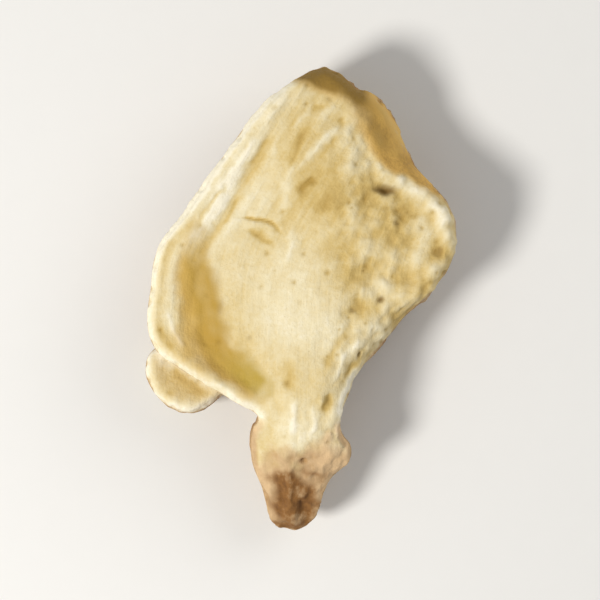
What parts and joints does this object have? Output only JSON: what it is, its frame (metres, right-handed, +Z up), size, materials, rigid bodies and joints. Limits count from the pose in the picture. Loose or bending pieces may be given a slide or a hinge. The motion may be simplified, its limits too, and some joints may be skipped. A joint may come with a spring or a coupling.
{
  "type": "chicory root piece",
  "caption": "Thick cut slice of dried chicory root with wrinkled bark, a sunken growth ring, a slanting facet, a low side ledge and the stub of a side rootlet.",
  "frame": {"origin": "under the middle of the slice, on the surface that it lies on", "axes": "+Z up, out of the upper cut face; +Y along the longest side, from the rootlet stub to the pointed tip; +X to the right of that, seen from above"},
  "size_m": [0.0143, 0.0213, 0.0057],
  "materials": {
    "dried_root": "matt dried root: cream cut faces with a golden ring, thin tan to brown wrinkled bark round the side and on the stub"
  },
  "bodies": {
    "root": {"root_piece": "dried_root"}
  },
  "joints": []
}
